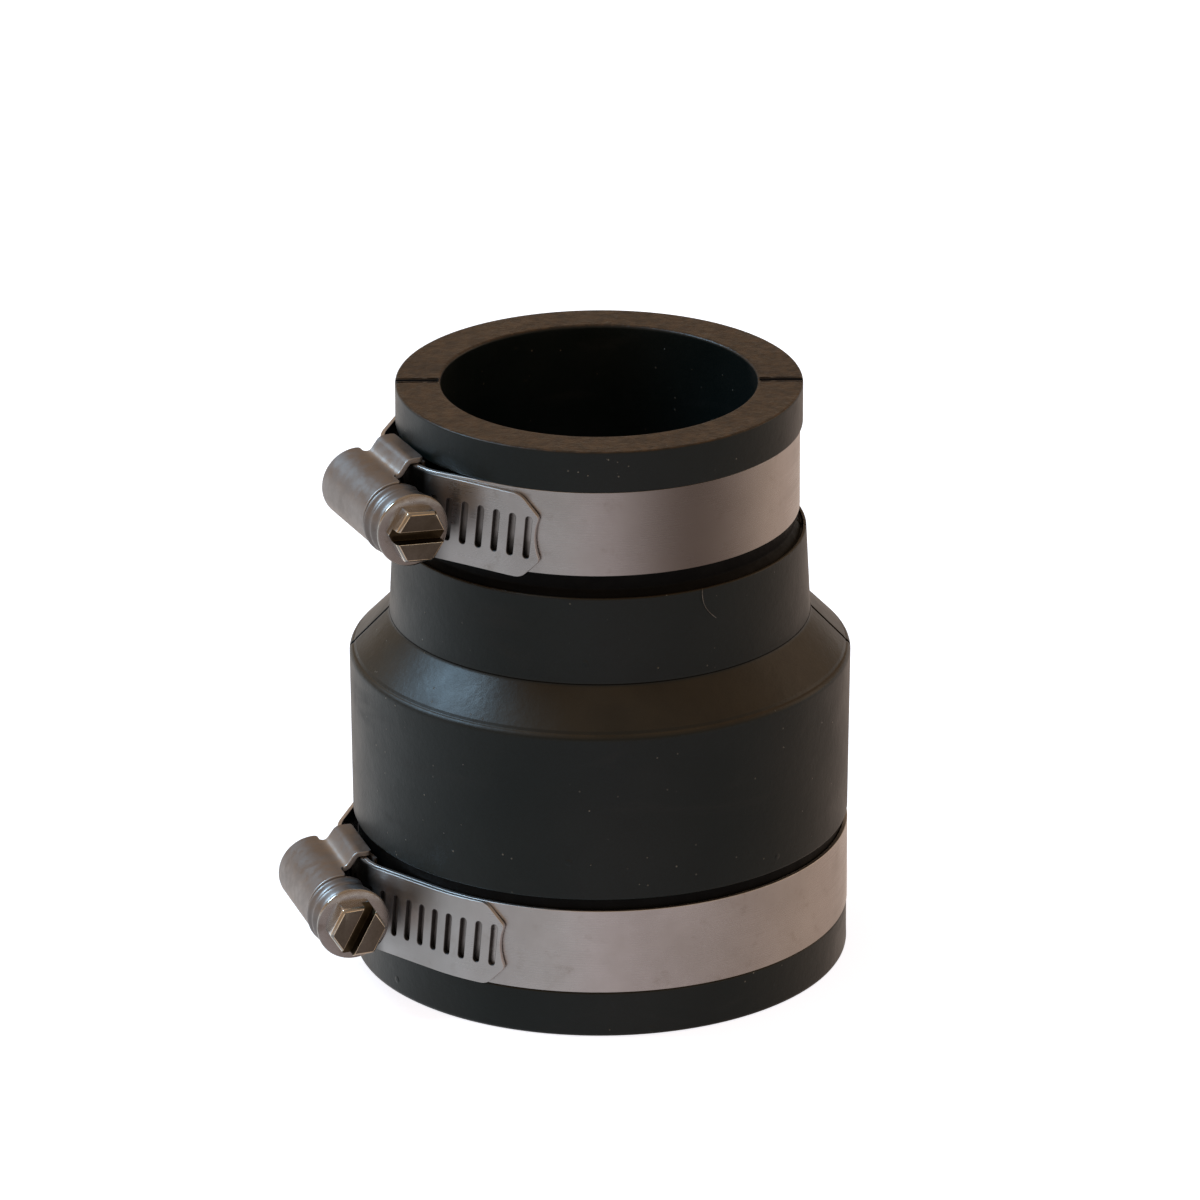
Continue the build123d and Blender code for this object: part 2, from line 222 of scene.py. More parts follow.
def sheet(name, loops, place, thick, edge, columns, rows, levels=3, keep=0.3, lift=None):
    """Closed sheet of even thickness with rolled edges, bent along a surface.

    loops: outline, anticlockwise, then the holes, clockwise, in the flat.
    place(a, b): point, tangent for a, tangent for b and outward normal of the middle surface.
    lift(a, b): extra height of the outer face.
    """
    flat, lefts = [p for loop in loops for p in loop], [v for loop in loops for v in left_of(loop)]
    starts = [0]
    for loop in loops:
        starts.append(starts[-1] + len(loop))
    # never three points exactly in line, so that no triangle is flat
    inner = [p + v * (edge + 0.0015 * sin(2.4 * k)) for k, (p, v) in enumerate(zip(flat, lefts))]
    shrunk = [inner[starts[i]:starts[i + 1]] for i in range(len(loops))]
    grid = np.array([(a, b) for a in columns for b in rows])
    grid = grid + 0.02 * np.stack([np.sin(37.0 * grid[:, 1] + 11.0 * grid[:, 0]),
                                   np.cos(29.0 * grid[:, 0] + 17.0 * grid[:, 1])], axis=1)
    ok = inside(shrunk[0], grid)
    for loop in shrunk[1:]:
        ok &= ~inside(loop, grid)
    edge_points = np.array([tuple(p) for p in inner])
    order = np.argsort(edge_points[:, 0])
    xs = edge_points[order, 0]
    kept = []
    for a, b in grid[ok]:
        i, j = np.searchsorted(xs, (a - keep, a + keep))
        near = edge_points[order[i:j]]
        if not len(near) or ((near - (a, b)) ** 2).sum(1).min() > keep ** 2:
            kept.append(Vector((a, b)))
    plan = inner + kept
    edges = []
    for i in range(len(loops)):
        k = list(range(starts[i], starts[i + 1]))
        edges += list(zip(k, k[1:] + k[:1]))
    got, _, tris, origin, _, _ = delaunay_2d_cdt([Vector(p) for p in plan], edges, [], 0, 1e-6)
    index = [o[0] if o else -1 for o in origin]
    centres = [sum((got[i] for i in t), Vector((0, 0))) / 3 for t in tris]
    good = inside(shrunk[0], [tuple(c) for c in centres])
    for loop in shrunk[1:]:
        good &= ~inside(loop, [tuple(c) for c in centres])
    tris = [tuple(index[i] for i in t) for t, g in zip(tris, good) if g]

    verts, normals, flow, rim, faces = [], [], [], [], []
    frames = {}

    def frame_at(p):
        key = (round(p.x, 5), round(p.y, 5))
        if key not in frames:
            frames[key] = place(p.x, p.y)
        return frames[key]

    def add(p, height, lean, away, edge_shine):
        at, ta, tb, up = frame_at(p)
        extra = lift(p.x, p.y) if (lift and height > 0) else 0.0
        verts.append(at + up * (height + extra))
        side = ta * away.x + tb * away.y if away else Vector((0, 0, 0))
        normals.append((up * cos(lean) * (1 if height > 0 else -1) + side * sin(lean)).normalized())
        flow.append((p.x, p.y, 1.0 if height > 0 else -1.0))
        rim.append(edge_shine)

    n = len(flat)
    h = thick / 2
    for sign in (1, -1):
        for p in plan:
            i = len(verts) - (0 if sign > 0 else len(plan))
            add(p, sign * h, 0.0, None, 0.0)
    first = 2 * len(plan)
    layers = [list(range(0, n))]
    for sign in (1, -1):
        for j in (range(1, levels + 1) if sign > 0 else range(levels, 0, -1)):
            lean = j * (pi / 2) / levels
            layers.append(list(range(len(verts), len(verts) + n)))
            for p, v in zip(flat, lefts):
                add(p + v * (edge * (1 - sin(lean))), sign * (h - edge * (1 - cos(lean))), lean,
                    -v.normalized(), 1.0)
    layers.append([len(plan) + k for k in range(n)])
    for t in tris:
        faces.append(t)
        faces.append(tuple(len(plan) + i for i in reversed(t)))
    for a, b in zip(layers, layers[1:]):
        for i in range(len(loops)):
            k = list(range(starts[i], starts[i + 1]))
            for p, q in zip(k, k[1:] + k[:1]):
                faces.append((a[q], a[p], b[p], b[q]))
    return new_object(name, verts, faces, normals, {"flow": flow, "rim": rim})


def lathe(rings, around, origin, axis, first, name, thread=None, values=None):
    """Closed surface of rings (along, radius) about an axis, with a cap at each end."""
    second = axis.cross(first)
    verts, faces = [], []
    for i, (u, r) in enumerate(rings):
        for k in range(around):
            t = 2 * pi * k / around
            rr = thread(u, r, t) if thread else r
            verts.append(origin + axis * u + (first * cos(t) + second * sin(t)) * rr)
    for i in range(len(rings) - 1):
        for k in range(around):
            m = (k + 1) % around
            faces.append((i * around + k, (i + 1) * around + k, (i + 1) * around + m, i * around + m)[::-1])
    verts += [origin + axis * rings[0][0], origin + axis * rings[-1][0]]
    a, b, last = len(verts) - 2, len(verts) - 1, (len(rings) - 1) * around
    for k in range(around):
        m = (k + 1) % around
        faces.append((a, k, m)[::-1])
        faces.append((b, last + m, last + k)[::-1])
    return new_object(name, verts, faces)


def evaluated(ob):
    """Apply the modifiers of an object."""
    dg = bpy.context.evaluated_depsgraph_get()
    me = bpy.data.meshes.new_from_object(ob.evaluated_get(dg))
    ob.modifiers.clear()
    ob.data = me
    return ob


def combine(ob, other, operation):
    m = ob.modifiers.new("combine", "BOOLEAN")
    m.operation, m.solver, m.object = operation, "EXACT", other
    evaluated(ob)
    bpy.data.objects.remove(other)
    return ob


# ------------------------------------------------------------------ materials
class Nodes:
    """Short calls for building a node tree."""

    def __init__(self, name):
        self.mat = bpy.data.materials.new(name)
        self.mat.use_nodes = True
        self.tree = self.mat.node_tree
        self.tree.nodes.clear()
        self.out = self.tree.nodes.new("ShaderNodeOutputMaterial")
        self.shader = self.tree.nodes.new("ShaderNodeBsdfPrincipled")
        self.link(self.shader.outputs[0], self.out.inputs["Surface"])

    def link(self, a, b):
        self.tree.links.new(a, b)

    def put(self, socket, value):
        if isinstance(value, bpy.types.NodeSocket):
            self.link(value, socket)
        else:
            socket.default_value = value

    def coords(self):
        return self.tree.nodes.new("ShaderNodeTexCoord").outputs["Object"]

    def attribute(self, name, output="Vector"):
        n = self.tree.nodes.new("ShaderNodeAttribute")
        n.attribute_name = name
        return n.outputs[output]

    def scaled(self, vector, scale, location=(0, 0, 0)):
        n = self.tree.nodes.new("ShaderNodeMapping")
        self.link(vector, n.inputs["Vector"])
        n.inputs["Scale"].default_value = scale
        n.inputs["Location"].default_value = location
        return n.outputs[0]

    def noise(self, vector, scale, detail=3.0, rough=0.55, distort=0.0):
        n = self.tree.nodes.new("ShaderNodeTexNoise")
        self.link(vector, n.inputs["Vector"])
        n.inputs["Scale"].default_value = scale
        n.inputs["Detail"].default_value = detail
        n.inputs["Roughness"].default_value = rough
        n.inputs["Distortion"].default_value = distort
        return n.outputs["Fac"]

    def cells(self, vector, scale, feature="F1", output="Distance", random=1.0):
        n = self.tree.nodes.new("ShaderNodeTexVoronoi")
        n.feature = feature
        self.link(vector, n.inputs["Vector"])
        n.inputs["Scale"].default_value = scale
        n.inputs["Randomness"].default_value = random
        return n.outputs[output]

    def ramp(self, value, low, high, a=0.0, b=1.0):
        n = self.tree.nodes.new("ShaderNodeMapRange")
        n.interpolation_type = "SMOOTHSTEP"
        self.put(n.inputs["Value"], value)
        for key, v in (("From Min", low), ("From Max", high), ("To Min", a), ("To Max", b)):
            n.inputs[key].default_value = v
        return n.outputs[0]

    def maths(self, op, a, b=0.0):
        n = self.tree.nodes.new("ShaderNodeMath")
        n.operation = op
        self.put(n.inputs[0], a)
        self.put(n.inputs[1], b)
        return n.outputs[0]

    def mix(self, fac, a, b):
        n = self.tree.nodes.new("ShaderNodeMix")
        n.data_type = "RGBA"
        self.put(n.inputs[0], fac)
        self.put(n.inputs[6], a if isinstance(a, bpy.types.NodeSocket) else (*a, 1.0))
        self.put(n.inputs[7], b if isinstance(b, bpy.types.NodeSocket) else (*b, 1.0))
        return n.outputs[2]

    def separate(self, vector):
        n = self.tree.nodes.new("ShaderNodeSeparateXYZ")
        self.link(vector, n.inputs[0])
        return n.outputs

    def normal(self):
        return self.tree.nodes.new("ShaderNodeNewGeometry").outputs["Normal"]

    def bump(self, height, distance, strength=1.0, over=None):
        n = self.tree.nodes.new("ShaderNodeBump")
        n.inputs["Distance"].default_value = distance
        n.inputs["Strength"].default_value = strength
        self.link(height, n.inputs["Height"])
        if over:
            self.link(over, n.inputs["Normal"])
        return n.outputs[0]


def rubber_material():
    m = Nodes("rubber")
    at = m.coords()
    parts = m.separate(at)
    cloud = m.noise(at, 60, 4)
    fine = m.noise(at, 1500, 3, 0.6)
    grain = m.noise(at, 5200, 2, 0.6)
    face_up = m.ramp(m.separate(m.normal())[2], 0.35, 0.95)
    on_rim = m.maths("MULTIPLY", face_up, m.ramp(parts[2], 0.0812, 0.0819))
    # charcoal, faintly brown where it faces up from dust and a painted warm top light, with a mottled bloom on the cut
    # rim that also paints that top light
    base = m.mix(m.ramp(cloud, 0.35, 0.7), (0.0016, 0.0048, 0.0047), (0.0034, 0.0064, 0.0060))
    dust_and_top_light = m.mix(m.ramp(m.noise(at, 90, 4, 0.6), 0.3, 0.7), (0.0250, 0.0170, 0.0085), (0.0390, 0.0265, 0.0130))
    base = m.mix(face_up, base, dust_and_top_light)
    bloom_and_top_light = m.mix(m.ramp(m.noise(at, 620, 6, 0.72), 0.40, 0.62), (0.022, 0.0105, 0.0042), (0.062, 0.0300, 0.0125))
    base = m.mix(on_rim, base, bloom_and_top_light)
    # dust specks, sparse and small
    cell = m.cells(at, 760)
    pick = m.separate(m.cells(at, 760, output="Color"))[0]
    speck = m.maths("MULTIPLY", m.ramp(cell, 0.125, 0.07), m.ramp(pick, 0.74, 0.78))
    speck = m.maths("MULTIPLY", speck, m.ramp(m.noise(at, 55, 2), 0.40, 0.58))
    base = m.mix(m.maths("MULTIPLY", speck, 0.6), base, (0.17, 0.150, 0.115))
    # smears left by handling
    smear = m.ramp(m.noise(m.scaled(at, (1, 1, 3.2)), 34, 5, 0.6, 1.2), 0.56, 0.74)
    base = m.mix(m.maths("MULTIPLY", smear, 0.30), base, (0.013, 0.0125, 0.012))
    m.put(m.shader.inputs["Base Color"], base)
    rough = m.maths("ADD", m.ramp(m.noise(at, 110, 4), 0.3, 0.7, 0.33, 0.41), m.maths("MULTIPLY", smear, 0.10))
    rough = m.maths("ADD", rough, m.maths("MULTIPLY", fine, 0.05))
    m.put(m.shader.inputs["Roughness"], rough)
    m.shader.inputs["Specular IOR Level"].default_value = 0.355
    # moulded skin: faint orange peel, fine grain and a few pimples
    pimple = m.cells(at, 210)
    pimple_pick = m.separate(m.cells(at, 210, output="Color"))[1]
    pimple = m.maths("MULTIPLY", m.ramp(pimple, 0.13, 0.04), m.ramp(pimple_pick, 0.86, 0.90))
    off_corner = m.maths("ABSOLUTE", m.maths("SUBTRACT", parts[2], 0.0497))
    pimple = m.maths("MULTIPLY", pimple, m.ramp(off_corner, 0.0012, 0.0018))
    peel = m.noise(at, 420, 2, 0.5)
    rubbed = m.maths("MULTIPLY", m.noise(at, 700, 5, 0.7), on_rim)
    n0 = m.bump(rubbed, 0.00022, 0.9)
    n1 = m.bump(peel, 0.00006, 0.7, n0)
    n2 = m.bump(fine, 0.00003, 0.8, n1)
    n3 = m.bump(grain, 0.000012, 0.7, n2)
    n4 = m.bump(m.maths("ADD", pimple, speck), 0.00012, 0.8, n3)
    m.put(m.shader.inputs["Normal"], n4)
    return m.mat


def painted_shade_rubber_material():
    """Painted shade: the rubber made near black and dull in the grooves, the parting line and the crease, where light
    hardly gets at it.
    """
    m = Nodes("rubber_in_painted_shade")
    at = m.coords()
    m.put(m.shader.inputs["Base Color"], m.mix(m.ramp(m.noise(at, 300, 4), 0.35, 0.7), (0.0011, 0.0011, 0.0011), (0.0024, 0.0021, 0.0017)))
    m.put(m.shader.inputs["Roughness"], m.ramp(m.noise(at, 500, 3), 0.3, 0.7, 0.48, 0.60))
    m.shader.inputs["Specular IOR Level"].default_value = 0.09
    m.put(m.shader.inputs["Normal"], m.bump(m.noise(at, 1500, 3, 0.6), 0.00003, 0.8))
    return m.mat


def steel_material(name, light, dark, rough, brushed=True, stain=0.35, rim_shine=0.32, rim_rough=0.0):
    """Satin stainless steel. flow holds the rolling direction; rim marks the rolled edges and the housing's bends,
    where the colour is lightened as a painted highlight.
    """
    m = Nodes(name)
    at = m.coords()
    if brushed:
        flow = m.attribute("flow")
        lines = m.noise(m.scaled(flow, (0.16, 22.0, 3.0)), 1.0, 5, 0.7)
        lines2 = m.noise(m.scaled(flow, (0.05, 7.0, 3.0), (9, 4, 2)), 1.0, 3, 0.6)
    else:
        lines = m.noise(at, 2600, 3, 0.6)
        lines2 = m.noise(at, 900, 3, 0.5)
    patch = m.noise(at, 75, 4, 0.6)
    base = m.mix(m.ramp(patch, 0.30, 0.78), light, dark)
    base = m.mix(m.ramp(lines, 0.35, 0.7, 0.0, 0.24), base, dark)
    base = m.mix(m.maths("MULTIPLY", m.ramp(m.noise(at, 260, 5, 0.65), 0.56, 0.74), stain), base,
                 (dark[0] * 0.62, dark[1] * 0.55, dark[2] * 0.48))
    # painted highlight: lighter colour along the rolled edges and the housing's bends
    rim = m.attribute("rim", "Fac")
    base = m.mix(m.maths("MULTIPLY", rim, rim_shine), base, (0.80, 0.78, 0.76))
    # painted dark reflection: darker colour where this attribute is set
    painted_dark_reflection = m.attribute("painted_dark_reflection", "Fac")
    base = m.mix(painted_dark_reflection, base, (dark[0] * 0.42, dark[1] * 0.38, dark[2] * 0.355))
    # painted shade: near black and rougher where this attribute is set
    shade_painted = m.attribute("shade_painted", "Fac")
    base = m.mix(shade_painted, base, (0.009, 0.008, 0.007))
    m.put(m.shader.inputs["Base Color"], base)
    m.shader.inputs["Metallic"].default_value = 1.0
    r = m.maths("ADD", m.ramp(lines2, 0.3, 0.7, rough - 0.05, rough + 0.05),
                m.ramp(m.noise(at, 140, 3), 0.4, 0.7, 0.0, 0.07))
    r = m.maths("ADD", r, m.maths("MULTIPLY", shade_painted, 0.25))
    if rim_rough:
        r = m.maths("ADD", r, m.maths("MULTIPLY", rim, rim_rough))
    m.put(m.shader.inputs["Roughness"], r)
    n1 = m.bump(lines, 0.000006, 0.8)
    n2 = m.bump(m.noise(at, 180, 3, 0.5), 0.00010, 0.35, n1)
    m.put(m.shader.inputs["Normal"], n2)
    return m.mat


rubber = rubber_material()
painted_shade_rubber = painted_shade_rubber_material()
band_steel = steel_material("band_steel", (0.62, 0.595, 0.59), (0.50, 0.475, 0.46), 0.28, rim_shine=0.16, rim_rough=0.10)
# painted light: the lower band takes a lighter copy of the same steel
lit_lower_band_steel = steel_material("lit_lower_band_steel", (0.70, 0.672, 0.668), (0.565, 0.537, 0.522), 0.28, rim_shine=0.16, rim_rough=0.10)
housing_steel = steel_material("housing_steel", (0.315, 0.288, 0.278), (0.245, 0.214, 0.196), 0.42, brushed=False)
screw_steel = steel_material("screw_steel", (0.58, 0.565, 0.545), (0.36, 0.33, 0.29), 0.17, brushed=False, stain=0.5)
# painted light on the screw: a golden glint on the bevelled edges, a shaded copy for the head's front, a lit copy for
# its side facets, a shaded copy for the flange's front, and painted shade in the driver slot
glint_edge_steel = steel_material("glint_edge_steel", (0.95, 0.84, 0.66), (0.76, 0.63, 0.45), 0.20, brushed=False, stain=0.3)
shaded_face_steel = steel_material("shaded_face_steel", (0.200, 0.175, 0.145), (0.085, 0.068, 0.048), 0.20, brushed=False, stain=0.7)
lit_facet_steel = steel_material("lit_facet_steel", (0.80, 0.82, 0.85), (0.58, 0.57, 0.56), 0.19, brushed=False, stain=0.45)
shaded_flange_steel = steel_material("shaded_flange_steel", (0.43, 0.405, 0.39), (0.30, 0.27, 0.245), 0.21, brushed=False, stain=0.6)
shaded_slot_steel = steel_material("shaded_slot_steel", (0.085, 0.062, 0.034), (0.035, 0.025, 0.014), 0.36, brushed=False, stain=0.6)


def finish_piece(ob, material, body, node):
    if isinstance(material, bpy.types.Material):
        ob.data.materials.clear()
        ob.data.materials.append(material)
    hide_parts(node)
    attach(ob, body)
    return ob


# --------------------------------------------------------------------- sleeve
def make_sleeve():
    profile = rounded(wall, seg=4, support=0.14, step=1.6)
    n = len(profile)
    normals = []
    for i in range(n):
        d = (profile[(i + 1) % n] - profile[i - 1]).normalized()
        normals.append(Vector((d.y, -d.x)))             # the outline runs anticlockwise
    # the parting line crosses the rim, collar, cone, body and base lip, not the grooves or the bore
    def line_depth(r, z):
        if r < 21.75 or (z > 40 and r < 21.9 and z < 82) or (r < 28.3 and z < 41.9):
            return 0.0
        if 6.4 < z < 20.25 or 61.45 < z < 76.7:
            return 0.0
        if r < 26.5 and z < 82:
            return 0.0
        return 0.22
    around = 256
    shifts = (-0.85, -0.56, -0.42, -0.28, 0.0, 0.28, 0.42, 0.56, 0.85)
    dips = (0.0, 0.0, 0.08, 1.10, 1.45, 1.10, 0.08, 0.0, 0.0)
    columns = []
    step = 2 * pi / around
    for k in range(around):
        t = k * step
        if min(abs(t), abs(t - pi), abs(t - 2 * pi)) < step * 0.9:
            continue
        columns.append((t, None, 0.0))
    for base in (0.0, pi):
        for s, d in zip(shifts, dips):
            columns.append((base + (1e-4 * s), s, d))
    columns.sort(key=lambda c: (c[0] % (2 * pi)) if c[1] is None else (c[0] % (2 * pi)))
    verts = []
    m = len(columns)
    for t, shift, dip in columns:
        for (r, z), nv in zip(profile, normals):
            r0, z0 = r, z
            if shift is not None:
                depth = line_depth(r, z) * dip * (0.5 + 0.5 * max(0.0, nv.y))
                r, z = r - nv.x * depth, z - nv.y * depth
                side = 1 if cos(t) > 0 else -1
                wide = 0.38 + 0.67 * max(0.0, nv.y)              # widest on the rim and the cone
                angle = asin(shift * wide / r) if side > 0 else pi - asin(-shift * wide / r)
            else:
                angle = t
            # the moulding is never quite round
            if r0 > 24 and z0 > 1:
                soft = 0.5 + 0.5 * sin(3 * angle + 0.045 * z0) * cos(2 * angle - 0.08 * z0 + 1.0)
                r -= 0.05 * soft
            verts.append((r * cos(angle), r * sin(angle), z))
    faces = []
    for i in range(m):
        j = (i + 1) % m
        for k in range(n):
            q = (k + 1) % n
            faces.append((i * n + k, j * n + k, j * n + q, i * n + q))
    ob = new_object("rubber_sleeve", verts, faces)
    ob.data.materials.append(rubber)
    ob.data.materials.append(painted_shade_rubber)
    # painted shade: the grooves, the crease where the cone meets the collar and the parting line take the near-black
    # rubber
    dark = []
    for i in range(m):
        a, b = columns[i][1], columns[(i + 1) % m][1]
        in_line = a is not None and b is not None and abs(a) < 0.43 and abs(b) < 0.43
        for k in range(n):
            (r1, z1), (r2, z2) = profile[k], profile[(k + 1) % n]
            r, z = (r1 + r2) / 2, (z1 + z2) / 2
            groove = (6.4 < z < 20.22 and 30 < r < 33.9) or (61.0 < z < 76.62 and 24 < r < 27.80)
            crease = 49.39 < z < 49.57 and 28.5 < r < 29.2         # where the cone meets the collar
            dark.append(1 if groove or crease or (in_line and line_depth(r, z) > 0) else 0)
    ob.data.polygons.foreach_set("material_index", dark)
    return finish_piece(ob, None, "sleeve_body", "sleeve")


make_sleeve()


# --------------------------------------------------------------------- clamps
def slot_loop(centre, lean, seg=7):
    """Slot outline, clockwise. lean is the turn of its length from upright, in degrees."""
    r, half = slot_w / 2, slot_len / 2 - slot_w / 2
    pts = []
    for end, start in ((1, 0), (-1, 180)):
        for k in range(seg + 1):
            t = radians(start + 180 * k / seg)
            pts.append(Vector((r * cos(t), end * half + r * sin(t))))
        m = 6
        for k in range(1, m):
            x = -r if end > 0 else r
            pts.append(Vector((x, end * half * (1 - 2 * k / m))))
    c, s = cos(radians(-lean)), sin(radians(-lean))
    pts = [Vector((p.x * c - p.y * s, p.x * s + p.y * c)) + centre for p in pts]
    return pts[::-1]


def make_clamp(side, c):
    out = Vector((-sin(radians(c["phi"])), -cos(radians(c["phi"])), 0))
    run = Vector((cos(radians(c["phi"])), -sin(radians(c["phi"])), 0))
    up = Vector((0, 0, 1))
    mid = Vector((0, 0, c["z"]))
    A = c["axis_r"]
    seat = mid + out * A
    tail_v = A - 3.15 - band_t / 2
    strip_v = tail_v - band_t - band_gap
    ring = c["ring_r"] + band_t / 2

    def bend(height, radius, angle):
        reach = (height - radius * cos(radians(angle))) / sin(radians(angle))
        return radius * sin(radians(angle)) - reach * cos(radians(angle)), reach

    lead, trail = c["lead"], c["trail"]
    u1, reach1 = bend(strip_v, ring, lead)
    u2, reach2 = bend(tail_v, ring, trail)
    ring3 = ring + band_t + band_gap
    u3, reach3 = bend(tail_v, ring3, lead)
    cut1 = corner_r * tan(radians(lead / 2))
    cut2 = corner_r * tan(radians(trail / 2))
    cut3 = (corner_r + band_t + band_gap) * tan(radians(lead / 2))
    path = Trace(strip_start, strip_v, 0)
    path.go(u1 - cut1 - strip_start).turn(corner_r, -lead).go(reach1 - cut1)
    path.turn(ring, -(180 - lead)).turn(ring, -(180 - trail))
    path.go(reach2 - cut2).turn(corner_r, -trail).go(u2 + u3 - cut2 - cut3)
    path.turn(corner_r + band_t + band_gap, -lead).go(reach3 - cut3)
    path.turn(ring3, -(c["tail_from"] - lead))
    path.go(ring3 * tan(radians(c["tail_tip"] - c["tail_from"])))
    total = path.length()

    mouth = total - (ring3 * radians(c["tail_from"] - lead) + ring3 * tan(radians(c["tail_tip"] - c["tail_from"]))
                     + reach3 - cut3 + (corner_r + band_t + band_gap) * radians(lead))

    def on_band(s, z):
        u, v, a = path.at(min(max(s, 0.0), total))
        a = radians(a)
        f = min(1.0, max(0.0, (s - mouth + 3.0) / (total - mouth + 3.0)))
        z = z - c["droop"] * f * f * (1.6 - 0.6 * f)       # the tail's end sits a little low
        return (mid + run * u + out * v + up * z, run * cos(a) + out * sin(a), up,
                out * cos(a) - run * sin(a))

    # the strip's outline: square plain end, clipped and dished tail
    h = band_w / 2
    step = 0.9
    corner = 0.35
    def edge_run(p, q):
        d = (q - p).length
        m = max(1, int(d / step))
        return [p + (q - p) * (k / m) for k in range(m)]
    dish = []
    for k in range(2, 11):
        f = k / 12
        y = (-h + tail_chamfer_z) * (1 - f) + (h - tail_chamfer_z) * f
        w = h - tail_chamfer_z
        bow = tail_dish * (1 - (y / w) ** 2)
        dish.append(Vector((total - bow, y)))
    corners = [Vector((0, -h)), Vector((total - tail_chamfer_u, -h)), Vector((total, -h + tail_chamfer_z))]
    back = [Vector((total, h - tail_chamfer_z)), Vector((total - tail_chamfer_u, h)), Vector((0, h))]
    raw = ([(tuple(corners[0]), corner), (tuple(corners[1]), 2.2), (tuple(corners[2]), 0.75)]
           + [(tuple(p), 0.0) for p in dish]
           + [(tuple(back[0]), 0.75), (tuple(back[1]), 2.2), (tuple(back[2]), corner)])
    outline = rounded(raw, seg=4, support=0.3, step=step)
    slots = []
    for k in range(c["slots"]):
        s = total - first_slot - k * slot_pitch
        slots.append(slot_loop(Vector((s, 0.0)), slot_slant))
    columns = [0.45 + 0.8 * k for k in range(int((total - 0.6) / 0.8))]
    rows = [-h + 0.5 + (band_w - 1.0) * k / 9 for k in range(10)]
    band = sheet(side + "_band_strip", [outline] + slots, on_band, band_t, 0.11, columns, rows,
                 levels=3, keep=0.32)
    # painted shade on the strip where the tail covers it, darkest towards its lower edge, and inside the slots
    me = band.data
    flow = np.zeros(len(me.vertices) * 3)
    me.attributes["flow"].data.foreach_get("vector", flow)
    flow = flow.reshape(-1, 3)
    rim = np.zeros(len(me.vertices))
    me.attributes["rim"].data.foreach_get("value", rim)
    under = (reach1 - cut1) + (u1 - cut1 - strip_start) + corner_r * radians(lead) + ring * radians(c["tail_tip"] - lead) - 2.0
    shade_painted = np.where((flow[:, 0] < under) & (flow[:, 2] > 0) & (np.abs(flow[:, 1]) < 4.6),
                     np.interp(flow[:, 1], (-2.3, -0.8), (0.95, 0.42)), 0.0)
    mid_slots = (np.abs(flow[:, 1]) < slot_len / 2 + 0.2) & (rim > 0.5) & (flow[:, 0] > 12) & (flow[:, 0] < total - 0.9)
    shade_painted = np.where(mid_slots, 0.82, shade_painted)
    rim[mid_slots] = 0.15
    # painted shade on the tail where it comes out from under the housing
    front = mouth + ear_len / 2 - (u3 - cut3)           # where the tail leaves the ears
    mouth_shade = np.clip((front + 7.2 - flow[:, 0]) / 4.8, 0, 1) * (flow[:, 2] > 0) * (flow[:, 0] > front - ear_len - 1.0)
    shade_painted = np.maximum(shade_painted, 1.0 * mouth_shade * mouth_shade * (3 - 2 * mouth_shade))
    co = np.zeros(len(me.vertices) * 3)
    me.vertices.foreach_get("co", co)
    co = co.reshape(-1, 3)
    # painted dark reflection: each band's top face darkens by its angle round the sleeve, where it reflects dim
    # surroundings
    face_angle = np.degrees(np.arctan2(co[:, 0], -co[:, 1]))
    painted_dark_reflection = c["painted_dark_reflection"] * np.exp(-((face_angle - 26.5) / 21.5) ** 2) * (flow[:, 2] > 0)
    strength, width = c["side_painted_dark_reflection"]
    painted_dark_reflection = np.maximum(painted_dark_reflection, strength * np.exp(-((face_angle - 80.0) / width) ** 2) * (flow[:, 2] > 0))
    # painted shade on the tail's top face around a face angle of -46 degrees
    shade_painted = np.maximum(shade_painted, c["tail_shade"] * np.exp(-((face_angle + 46.0) / 14.0) ** 2) * (flow[:, 2] > 0))
    layer = me.attributes.new("painted_dark_reflection", "FLOAT", "POINT")
    layer.data.foreach_set("value", painted_dark_reflection)
    me.attributes["rim"].data.foreach_set("value", rim)
    layer = me.attributes.new("shade_painted", "FLOAT", "POINT")
    layer.data.foreach_set("value", shade_painted)
    finish_piece(band, band_steel if side == "upper" else lit_lower_band_steel, side + "_clamp", side + "_band")

    # the housing's section, from the lower foot over the barrel to the upper foot: (out, z) from the screw's axis
    ear_half = band_w / 2 + 0.1 + sheet_t / 2
    leg_foot = strip_v - band_t / 2 - 0.15 - saddle_t
    barrel_mid = barrel_r - sheet_t / 2
    probe = Trace(leg_foot - A, ear_half, 0)
    probe.go(leg_rise).turn(ear_bend, -ear_slope).turn(root_bend, ear_slope)
    slant = (probe.y - barrel_mid) / sin(radians(ear_slope))
    sec = Trace(leg_foot - A, -ear_half, 0)
    sec.go(leg_rise).turn(ear_bend, ear_slope).go(slant).turn(root_bend, -ear_slope)
    straight = -sec.x
    sec.go(straight).turn(barrel_mid, 90).turn(barrel_mid, 90).go(straight)
    sec.turn(root_bend, -ear_slope).go(slant).turn(ear_bend, ear_slope).go(leg_rise)
    whole = sec.length()
    half = whole / 2
    ear_at = barrel_mid * pi / 2 + 0.6              # along the section, from the barrel's top to the ear

    def on_housing(u, l):
        x, z, a = sec.at(min(max(l + half, 0.0), whole))
        a = radians(a)
        t = out * cos(a) + up * sin(a)
        return seat + run * u + out * x + up * z, run, t, out * sin(a) - up * cos(a)

